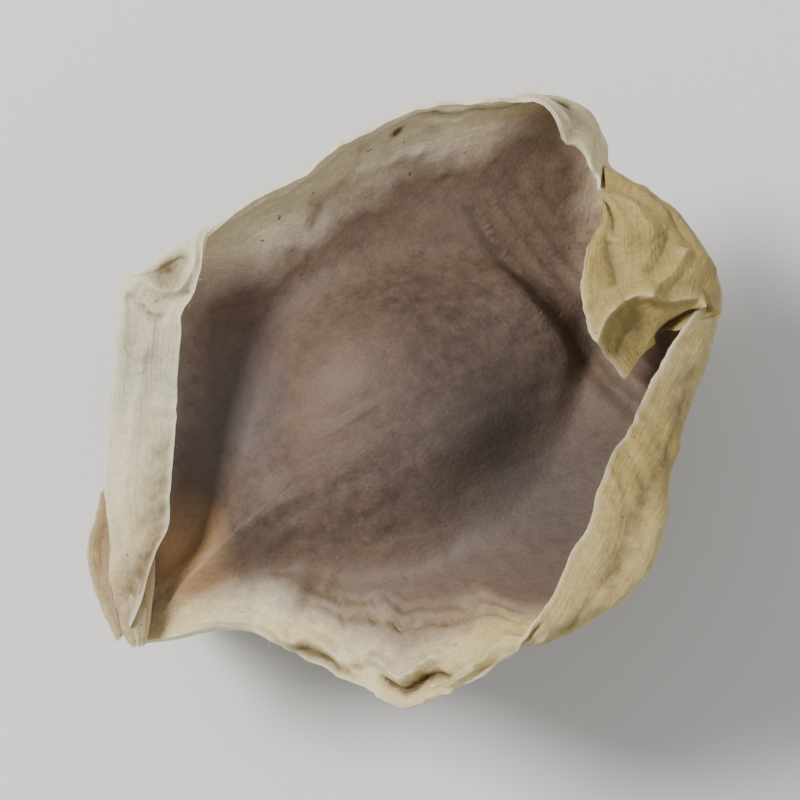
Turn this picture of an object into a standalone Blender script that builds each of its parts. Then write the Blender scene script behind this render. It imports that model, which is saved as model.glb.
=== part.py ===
"""A dried moringa seed, lying with one hull face up.

A three-sided hull sits between three papery wings that meet at both poles. X runs from the sharp pole
to the ragged pole, Z is up, and the seed rests on the wavy edge of its lower wing. Three dished faces
cover it, each from the margin of one wing, over the hull, to the margin of the next.
Sizes are in millimetres and degrees until the mesh is made.
"""

import math

import bmesh
import bpy
import numpy as np
from mathutils import Matrix

MM = 0.001

# Hull
HALF_LENGTH = 14.0  # from the middle of the hull to either pole
HULL_RADIUS = 5.7  # from the axis to the middle of a hull face
HULL_HALF_LENGTH = 8.6  # where the skin has sunk back between the wings
HULL_SOFTNESS = 1.15  # how softly the hull's ends fall away
CORE_RADIUS = 0.85  # from the axis to the skin, where only the wings meet
STEEP_SHARE = 0.86  # share of the hull's radius, out along a wing, where its skin stops rounding down
FILLET_LENGTH = 2.6  # where the skin meets a wing
FILLET_SHARE = 0.8  # of the hull's radius, at most
ROOT_SHIFT_REACH = 8.0  # the start of a wing, inside the hull, is drawn aside over this distance out
AXIS_SAG = 1.0  # both poles bend this far towards -Y

# Wings
WING_THICKNESS = 0.64
BEND_LENGTH = 2.0  # length of sheet taken up by a fold
FLAT_FOLD = 0.001  # in radians, the least fold that the sums need
TEAR_DEPTH = 0.3  # how far the torn margin wanders in and out
CAMBER = 1.7  # how far the upper wings cup upwards at their margin
CAMBER_START = 5.5  # from the axis to where the cupping starts
CAMBER_SPAN = 8.0
FLOOR_DEPTH = 9.4  # from the axis down to the surface that the seed rests on
LOWER_WAVE = 3.6  # how far the lower wing's edge swings to either side
LOWER_WAVE_LENGTH = 18.5
LOWER_WAVE_START = 4.6  # from the axis to where the swing starts
LOWER_WAVE_SPAN = 5.0
FREE_START = 5.0  # from the axis to where a wing stands free of the hull
FREE_SPAN = 2.5
FREE_RUN = (0.7, 0.25)  # or, as shares of the way to the fold, where that starts and how long it takes
ROOT_END_RUN = (0.8, 0.2)  # the same for the end of the hull's slope
POLE_FADE = 0.12  # folds fade out where the sine of the turn is under this
TORN_FADE = 0.3
WAVE_FADE = 0.4

# Mesh
RAYS = 42  # steps along a wing's margin, from pole to pole
HULL_RINGS = 11
FOLD_RINGS = 7
SHARP_ANGLE = 64

# Each wing: its direction from straight up towards +Y, the side that faces the upper hull face, its
# outline as (x, distance from the axis), its folds as (turn round the hull from the sharp pole, fold
# towards that side, width of the folded margin), and its waves as (how many, height, shift).
WINGS = (
    {
        "name": "left",
        "angle": 65,
        "inward": -1,
        "outline": ((-14, 0), (-13.8, 1.6), (-12.4, 4.2), (-11.0, 6.1), (-8.3, 9.9), (-6.9, 11.7),
                    (-6.3, 12.05), (-5.2, 11.95), (-2.3, 11.6), (2.6, 11.4), (6.9, 11.1), (9.2, 10.2),
                    (12.2, 8.6), (13.3, 7.1), (13.3, 5.4), (12.8, 4.2), (13.7, 2.2), (14, 0)),
        "folds": ((0, 0, 0.6), (6, 125, 3.0), (16, 150, 4.1), (28, 150, 4.1), (45, 150, 4.2),
                  (60, 150, 4.4), (66, 150, 3.7), (70, 146, 3.0), (74, 138, 2.4), (78, 90, 1.8),
                  (84, 45, 1.8), (130, 40, 2.0), (140, 70, 2.2), (150, 135, 3.2), (158, 130, 3.0),
                  (168, 60, 2.2), (180, 0, 0.6)),
        "waves": ((5, 0.25, 0.4), (9, 0.16, 2.0)),
    },
    {
        "name": "lower",
        "angle": 180,
        "inward": 1,
        "outline": ((-14, 0), (-13.0, 4.4), (-11.6, 7.4), (-9.8, 9.2), (-8.4, 9.4), (-6, 9.1), (-3, 9.0),
                    (-1, 9.4), (1, 9.4), (3, 9.1), (6, 9.1), (8.6, 9.4), (9.9, 9.2), (11.4, 7.8),
                    (12.6, 4.8), (13.4, 2.2), (14, 0)),
        "folds": ((0, 0, 0.6), (14, -60, 2.4), (30, -70, 2.6), (42, 0, 2.8), (138, 0, 2.8), (152, 65, 2.6),
                  (168, 50, 2.2), (180, 0, 0.6)),
        "waves": (),
    },
    {
        "name": "right",
        "angle": 295,
        "inward": 1,
        "outline": ((-14, 0), (-12.6, 1.2), (-10.2, 3.1), (-8.9, 5.9), (-8.1, 8.2), (-7.1, 10.4),
                    (-6.6, 10.8), (-5.0, 11.8), (-2.9, 13.2), (-0.6, 14.3), (1.0, 14.5), (2.4, 14.3),
                    (3.8, 13.7), (5.3, 12.2), (7.7, 9.3), (9.3, 7.2), (11.5, 5.4), (13.1, 3.7),
                    (13.7, 2.0), (14, 0)),
        "folds": ((0, 0, 0.6), (16, -25, 2.2), (58, -48, 3.0), (72, -40, 2.4), (78, 0, 1.6),
                  (82, 105, 1.8), (88, 140, 2.7), (96, 147, 4.0), (108, 148, 4.5), (118, 148, 4.1),
                  (130, 146, 3.3), (142, 145, 2.8), (152, 140, 2.7), (160, 125, 2.5), (170, 70, 2.0),
                  (180, 0, 0.6)),
        "waves": ((4, 0.30, 1.2), (9, 0.14, 0.3)),
    },
)

# Loose pieces of wing, each a sheet through rows of points that run from its root to its free edge, as
# (x, y, height over the axis). The flap is folded in over the ragged pole, and its rows run from +Y to -Y.
FLAP_ROWS = (
    ((12.6, 4.4, 1.8), (13.6, 1.9, 0.9), (13.9, 0.2, 0.4), (13.6, -2.3, 0.4), (12.7, -4.0, 0.8)),
    ((12.6, 4.2, 3.5), (13.4, 1.8, 3.1), (13.8, 0.2, 2.9), (13.4, -2.4, 2.6), (12.4, -4.0, 2.6)),
    ((12.1, 3.3, 4.6), (12.5, 1.3, 4.6), (12.7, -0.2, 4.4), (12.5, -2.2, 4.2), (11.4, -3.6, 3.4)),
    ((11.4, 2.4, 5.0), (11.0, 0.9, 4.9), (10.8, -0.5, 4.8), (10.4, -1.9, 4.8), (9.8, -3.6, 3.4)),
    ((10.7, 1.6, 4.8), (9.3, 0.5, 4.6), (8.4, -0.5, 4.6), (7.8, -1.9, 4.6), (7.9, -4.2, 3.5)),
)

# The left wing's skin has split along its fold, and this layer stands out past the fold.
SPLIT_LAYER_ROWS = (
    ((-10.7, 4.9, 2.3), (-11.5, 3.2, 1.5), (-11.9, 1.9, 0.9), (-12.5, 0.5, 0.2)),
    ((-11.2, 5.0, 2.3), (-12.6, 3.5, 1.5), (-13.3, 2.1, 0.9), (-13.6, 0.5, 0.2)),
    ((-11.7, 5.0, 2.4), (-13.4, 3.8, 1.8), (-14.3, 2.3, 1.2), (-14.6, 0.3, 0.3)),
)
SHEET_THICKNESS = 0.66

HULL_BROWN = (0.155, 0.095, 0.062, 1.0)


def smooth_curve(points, steps):
    """A smooth curve through the points, with this many steps from each to the next."""
    points = np.array(points, dtype=float)
    padded = np.concatenate((2 * points[:1] - points[1:2], points, 2 * points[-1:] - points[-2:-1]))
    t = np.linspace(0, 1, steps, endpoint=False)[:, None]
    spans = []
    for a, b, c, d in zip(padded, padded[1:], padded[2:], padded[3:]):
        spans.append(0.5 * (2 * b + (c - a) * t + (2 * a - 5 * b + 4 * c - d) * t**2
                            + (3 * b - a - 3 * c + d) * t**3))
    return np.concatenate(spans + [points[-1:]])


def ease(value):
    """0 to 1 with a level start and end."""
    value = np.clip(value, 0, 1)
    return value * value * (3 - 2 * value)


def face_distance(x):
    """From the axis to the middle of a hull face, at a place along the seed."""
    along = np.clip(np.abs(x) / HULL_HALF_LENGTH, 0, 1)
    return CORE_RADIUS + (HULL_RADIUS - CORE_RADIUS) * (1 - along**2) ** HULL_SOFTNESS


def skin_depth(x, out):
    """From the middle of a wing to the skin on the face that it borders, at a distance out from the axis.

    The skin is round over the hull, falls straight from there, and meets the wing in a fillet.
    """
    distance = face_distance(x)
    fall = STEEP_SHARE / math.sqrt(1 - STEEP_SHARE**2)
    on_hull = np.clip(out / distance, 0, STEEP_SHARE)
    skin = distance * np.sqrt(1 - on_hull**2) - fall * np.maximum(out - STEEP_SHARE * distance, 0)
    fillet = np.minimum(FILLET_LENGTH, FILLET_SHARE * distance)
    overlap = np.maximum(fillet - np.abs(skin - WING_THICKNESS / 2), 0) / fillet
    return np.maximum(skin, WING_THICKNESS / 2) + overlap**2 * fillet / 4


def zigzag(value):
    """A wave of straight strokes between -1 and 1."""
    return 2 / math.pi * np.arcsin(np.sin(value))


def torn_edge(turn):
    """How far the torn margin stands out past its smooth line, round the hull from pole to pole."""
    return TEAR_DEPTH * (0.6 * zigzag(21 * turn + 0.7) + 0.4 * zigzag(34 * turn + 2.1))


def rolled(length, fold, bend):
    """How far forward and how far up a folded margin gets, at a length past the start of its fold."""
    radius = bend / fold
    turned = fold * np.clip(length / bend, 0, 1)
    straight = np.maximum(length - bend, 0)
    return (radius * np.sin(turned) + straight * np.cos(fold),
            radius * (1 - np.cos(turned)) + straight * np.sin(fold))


def outline_reach(wing, turn):
    """From the hull's middle to a wing's outline, round the hull from pole to pole."""
    outline = smooth_curve(wing["outline"], 6)
    return np.interp(turn, np.arctan2(outline[:, 1], -outline[:, 0]), np.hypot(outline[:, 0], outline[:, 1]))


def even_turns(wing):
    """Turns round the hull that are evenly spaced along the wing's outline."""
    turn = np.linspace(0, math.pi, 20 * RAYS + 1)
    reach = outline_reach(wing, turn)
    steps = np.hypot(np.diff(reach * np.cos(turn)), np.diff(reach * np.sin(turn)))
    length = np.concatenate(([0], np.cumsum(steps)))
    return np.interp(np.linspace(0, length[-1], RAYS + 1), length, turn)


def wing_middle(wing, turn, run, half_angle):
    """Points on the middle sheet of a wing: turn goes round the hull from pole to pole, run from 0 at
    the hull's middle to 1 where the margin's fold starts, then to 2 at the free edge."""
    reach = outline_reach(wing, turn)

    turns, folds, widths = np.array(wing["folds"]).T
    fold = np.radians(np.interp(np.degrees(turn), turns, folds))
    width = np.interp(np.degrees(turn), turns, widths)
    bend = np.minimum(BEND_LENGTH, width)
    side = wing["inward"] * np.where(fold < 0, -1, 1)
    fold = np.maximum(np.abs(fold) * ease(np.sin(turn) / POLE_FADE), FLAT_FOLD)
    furthest = np.where(fold < math.pi / 2, rolled(width, fold, bend)[0], bend / fold)
    fold_start = reach - furthest
    if wing["name"] == "lower":
        torn = ease((FLOOR_DEPTH - reach * np.sin(turn)) / TEAR_DEPTH)
    else:
        torn = ease(np.sin(turn) / TORN_FADE)
    torn_width = width + torn * torn_edge(turn)
    forward, up = rolled(np.clip(run - 1, 0, 1) * torn_width, fold, bend)
    along = np.clip(run, 0, 1) * fold_start + forward
    lift = side * up

    x = -along * np.cos(turn)
    straight_out = along * np.sin(turn)
    shift = face_distance(x) * math.cos(half_angle)
    out = straight_out + shift * np.clip(1 - straight_out / ROOT_SHIFT_REACH, 0, 1) ** 2

    share = np.clip(along / np.maximum(reach, 1e-6), 0, 1.1)
    for count, height, start in wing["waves"]:
        lift = lift + height * share**4 * np.sin(count * turn + start) * ease(np.sin(turn) / WAVE_FADE)
    if wing["name"] == "lower":
        swing = LOWER_WAVE * ease((out - LOWER_WAVE_START) / LOWER_WAVE_SPAN)
        lift = lift + swing * np.cos(2 * math.pi * x / LOWER_WAVE_LENGTH)
    else:
        lift = lift + wing["inward"] * CAMBER * ease((out - CAMBER_START) / CAMBER_SPAN) * share**2

    angle = math.radians(wing["angle"])
    y = out * math.sin(angle) + lift * math.cos(angle)
    z = out * math.cos(angle) - lift * math.sin(angle)
    return np.stack((x, y, z), axis=-1), out


def wing_skin(wing, side, half_angle):
    """A grid of points on one face of a wing, from pole to pole and from the hull's middle to the edge."""
    turn = even_turns(wing)[:, None]
    run = np.concatenate((np.linspace(0, 1, HULL_RINGS + 1), 1 + np.linspace(0, 1, FOLD_RINGS + 1)[1:]))
    run = np.broadcast_to(run, (RAYS + 1, len(run)))
    turn = np.broadcast_to(turn, run.shape)
    middle, out = wing_middle(wing, turn, run, half_angle)

    step = 1e-4
    inside = np.clip(turn, 0.01, math.pi - 0.01)
    run_inside = np.clip(run, 0.02, 2 - step)
    across = (wing_middle(wing, inside + step, run_inside, half_angle)[0]
              - wing_middle(wing, inside - step, run_inside, half_angle)[0])
    outwards = (wing_middle(wing, inside, run_inside + step, half_angle)[0]
                - wing_middle(wing, inside, run_inside - step, half_angle)[0])
    normal = np.cross(across, outwards)
    normal /= np.linalg.norm(normal, axis=-1, keepdims=True)
    angle = math.radians(wing["angle"])
    square = np.array((0, math.cos(angle), -math.sin(angle)))
    free = np.maximum(ease((out - FREE_START) / FREE_SPAN), ease((run - FREE_RUN[0]) / FREE_RUN[1]))
    free = free * ease(np.sin(turn) / POLE_FADE)
    normal = normal * np.sign(np.sum(normal * square, axis=-1, keepdims=True)[:, :1])
    normal = square * (1 - free[..., None]) + normal * free[..., None]
    normal /= np.linalg.norm(normal, axis=-1, keepdims=True)
    slope = 1 - ease((run - ROOT_END_RUN[0]) / ROOT_END_RUN[1])
    depth = WING_THICKNESS / 2 + (skin_depth(middle[..., 0], out) - WING_THICKNESS / 2) * slope
    return middle + side * normal * depth[..., None]


def seed_mesh():
    """The three dished faces, joined along the wings' edges and at both poles, as one closed mesh."""
    bm = bmesh.new()
    rings = HULL_RINGS + FOLD_RINGS
    edge_rows = {}
    for index, wing in enumerate(WINGS):
        following = WINGS[(index + 1) % len(WINGS)]
        gap = (following["angle"] - wing["angle"]) % 360
        half_angle = math.radians(gap / 2)
        halves = (wing_skin(wing, 1, half_angle), wing_skin(following, -1, half_angle))
        middle = bm.verts.new(halves[0][0, 0])
        poles = [[middle] + [bm.verts.new(halves[0][end, j]) for j in range(1, rings + 1)] for end in (0, -1)]
        for half, skin in enumerate(halves):
            rows = [poles[0]]
            for i in range(1, RAYS):
                rows.append([middle] + [bm.verts.new(skin[i, j]) for j in range(1, rings + 1)])
            rows.append(poles[1])
            for row, beyond in zip(rows, rows[1:]):
                for j in range(rings):
                    for corners in ((row[j], row[j + 1], beyond[j + 1]), (row[j], beyond[j + 1], beyond[j])):
                        if len(set(corners)) == 3:
                            bm.faces.new(corners if half == 0 else corners[::-1])
            edge_rows[index if half == 0 else (index + 1) % len(WINGS), half] = [row[-1] for row in rows]
    for index in range(len(WINGS)):
        front, back = edge_rows[index, 0], edge_rows[index, 1]
        for i in range(RAYS):
            bm.faces.new((front[i], back[i + 1], front[i + 1]))
            bm.faces.new((front[i], back[i], back[i + 1]))
    for end, turned in ((0, False), (-1, True)):
        tips = [edge_rows[index, 0][end] for index in range(len(WINGS))]
        bm.faces.new(tips[::-1] if turned else tips)
    bmesh.ops.recalc_face_normals(bm, faces=bm.faces)
    return bm


def sheet_mesh(rows):
    """A loose piece of wing as a closed sheet: a grid through its rows, given thickness."""
    rows = np.array([smooth_curve(row, 3) for row in rows])
    grid = np.array([smooth_curve(rows[:, k], 2) for k in range(rows.shape[1])])
    normal = np.cross(np.gradient(grid, axis=0), np.gradient(grid, axis=1))
    normal /= np.linalg.norm(normal, axis=-1, keepdims=True)
    bm = bmesh.new()
    across, down = grid.shape[:2]
    sides = []
    for side in (1, -1):
        points = grid + side * normal * SHEET_THICKNESS / 2
        sides.append([[bm.verts.new(points[i, j]) for j in range(down)] for i in range(across)])
    for i in range(across - 1):
        for j in range(down - 1):
            for sheet in sides:
                bm.faces.new((sheet[i][j], sheet[i + 1][j], sheet[i + 1][j + 1]))
                bm.faces.new((sheet[i][j], sheet[i + 1][j + 1], sheet[i][j + 1]))
    rim = ([(i, 0) for i in range(across)] + [(across - 1, j) for j in range(1, down)]
           + [(i, down - 1) for i in range(across - 2, -1, -1)] + [(0, j) for j in range(down - 2, 0, -1)])
    for (a, b), (c, d) in zip(rim, rim[1:] + rim[:1]):
        bm.faces.new((sides[0][a][b], sides[1][a][b], sides[1][c][d], sides[0][c][d]))
    bmesh.ops.recalc_face_normals(bm, faces=bm.faces)
    return bm


def finish_shape(bm):
    """Bends the poles, flattens the lowest spots of the margin and turns millimetres into metres."""
    for vertex in bm.verts:
        vertex.co.y -= AXIS_SAG * (vertex.co.x / HALF_LENGTH) ** 2
        vertex.co.z = max(vertex.co.z, -FLOOR_DEPTH)
        vertex.co *= MM


def make_object(name, bm):
    mesh = bpy.data.meshes.new(name)
    bm.to_mesh(mesh)
    bm.free()
    made = bpy.data.objects.new(name, mesh)
    bpy.context.scene.collection.objects.link(made)
    return made


def hull_material():
    material = bpy.data.materials.new("seed_coat")
    material.use_nodes = True
    shader = material.node_tree.nodes["Principled BSDF"]
    shader.inputs["Base Color"].default_value = HULL_BROWN
    shader.inputs["Roughness"].default_value = 0.75
    shader.inputs["Metallic"].default_value = 0.0
    return material


def join_sheet(seed, sheet):
    """Joins a loose piece of wing to the seed as one body."""
    modifier = seed.modifiers.new("join", "BOOLEAN")
    modifier.operation = "UNION"
    modifier.solver = "EXACT"
    modifier.object = sheet
    joined = bpy.data.meshes.new_from_object(seed.evaluated_get(bpy.context.evaluated_depsgraph_get()))
    seed.modifiers.clear()
    seed.data = joined
    bpy.data.objects.remove(sheet, do_unlink=True)


def stand_on_origin(seed):
    """Moves the seed so that the middle of its underside is the origin."""
    corners = np.array([vertex.co for vertex in seed.data.vertices])
    low, high = corners.min(axis=0), corners.max(axis=0)
    middle = (low + high) / 2
    seed.data.transform(Matrix.Translation((-middle[0], -middle[1], -low[2])))


def main():
    for old in list(bpy.data.objects):
        bpy.data.objects.remove(old, do_unlink=True)
    seed_bm = seed_mesh()
    finish_shape(seed_bm)
    seed = make_object("moringa_seed", seed_bm)
    for rows in (FLAP_ROWS, SPLIT_LAYER_ROWS):
        sheet_bm = sheet_mesh(rows)
        finish_shape(sheet_bm)
        join_sheet(seed, make_object("sheet", sheet_bm))
    stand_on_origin(seed)
    seed.data.name = "moringa_seed"
    seed.data.materials.clear()
    seed.data.materials.append(hull_material())
    seed.data.shade_smooth()
    seed.data.set_sharp_from_angle(angle=math.radians(SHARP_ANGLE))


main()
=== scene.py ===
import math

import bpy
import numpy as np
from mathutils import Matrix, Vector


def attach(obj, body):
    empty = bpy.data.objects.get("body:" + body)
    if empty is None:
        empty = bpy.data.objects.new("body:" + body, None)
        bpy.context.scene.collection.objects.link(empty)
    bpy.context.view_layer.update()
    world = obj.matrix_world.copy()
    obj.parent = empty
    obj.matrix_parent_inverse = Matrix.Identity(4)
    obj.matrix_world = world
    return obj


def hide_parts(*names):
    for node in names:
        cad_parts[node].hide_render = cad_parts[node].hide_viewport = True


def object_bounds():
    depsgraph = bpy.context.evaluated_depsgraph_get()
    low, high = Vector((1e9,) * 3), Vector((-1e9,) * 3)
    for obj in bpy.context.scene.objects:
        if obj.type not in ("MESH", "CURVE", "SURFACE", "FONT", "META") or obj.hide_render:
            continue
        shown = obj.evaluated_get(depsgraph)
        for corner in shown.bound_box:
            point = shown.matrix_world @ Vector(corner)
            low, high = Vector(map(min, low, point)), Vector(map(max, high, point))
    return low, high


# A dried moringa seed lying with one hull face up. Three papery wings stand round a brown hull, and
# their margins are folded, crumpled and torn. Shapes are worked out in millimetres about the seed's own
# axis (x from the sharp pole to the ragged pole, z up) and are turned into the frame's metres at the end.

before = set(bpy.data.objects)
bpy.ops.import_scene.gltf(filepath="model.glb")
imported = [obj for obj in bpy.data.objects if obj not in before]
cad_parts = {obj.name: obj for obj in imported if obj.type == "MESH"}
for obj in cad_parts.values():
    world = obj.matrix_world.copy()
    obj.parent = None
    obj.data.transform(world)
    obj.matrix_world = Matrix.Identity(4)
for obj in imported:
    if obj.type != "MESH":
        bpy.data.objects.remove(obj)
cadLow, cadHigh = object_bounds()
nodeName = "moringa_seed"
bodyName = "root"

seed = {
    "halfLength": 14.0,  # middle to pole
    "hullRadius": 5.7,
    "hullHalfLength": 8.6,  # where the skin has sunk back between the wings
    "hullSoftness": 1.15,  # how softly the hull's ends fall away
    "endSoftness": 1.5,  # and how softly they run into the core
    "steepShare": 0.9,  # share of the hull's radius, along a wing, where its skin stops rounding down
    "filletLength": 2.4,
    "filletShare": 0.8,  # of the hull's radius, at most
    "coreRadius": 0.62,  # skin to axis where only the wings meet
    "rootShiftReach": 8.0,  # a wing's root, inside the hull, is drawn aside over this distance out
    "sag": 1.0,  # both poles bend this far towards -y
    "floorDepth": 9.4,
    "middleFromLowX": 14.665,  # from the low sides of the frame's box to the seed's axis
    "middleFromLowY": 12.299,
    "wingThickness": 0.17,
    "bendLength": 1.7,  # length of skin taken up by a fold
    "flatFold": 0.001,  # in radians, the least fold that the sums need
    "poleFade": 0.06,  # folds fade out where the sine of the turn is under this
    "tornFade": 0.3,  # tears likewise
    "waveFade": 0.4,  # waves likewise
    "floorFade": 0.3,  # the lower wing's tears fade out this far above the floor
    "camber": 1.7,  # how far the upper wings cup upwards at their margin
    "camberStart": 5.5,
    "camberSpan": 8.0,
    "lowerWave": 3.6,  # how far the lower wing's edge swings to either side
    "lowerWaveLength": 18.5,
    "lowerWaveStart": 4.6,
    "lowerWaveSpan": 5.0,
    "freeStart": 5.0,  # from the axis to where a wing stands free of the hull
    "freeSpan": 2.5,
    "freeRun": (0.7, 0.25),  # or, as shares of the way to the fold, where that starts and how long it takes
    "freePoleFade": 0.25,
    "rootEndRun": (0.8, 0.2),  # the same for the end of the hull's slope
    "planeGap": 0.3,  # how far a skin keeps off the middle plane, for each millimetre out
    "fullDepth": 0.8,  # the hull's relief is full where its skin is this far off the wing
    "coatDepth": 1.6,  # and its colour where it is this far off
    "sharpAngle": 58,
    "tableSteps": 6000,  # steps of turn in what is worked out along a margin
    "rays": 230,  # steps along a wing's margin
    "hullRings": (16, 16, 64),  # steps from the hull to the fold on each face, the upper one last
    "foldRings": 30,
}

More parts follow.
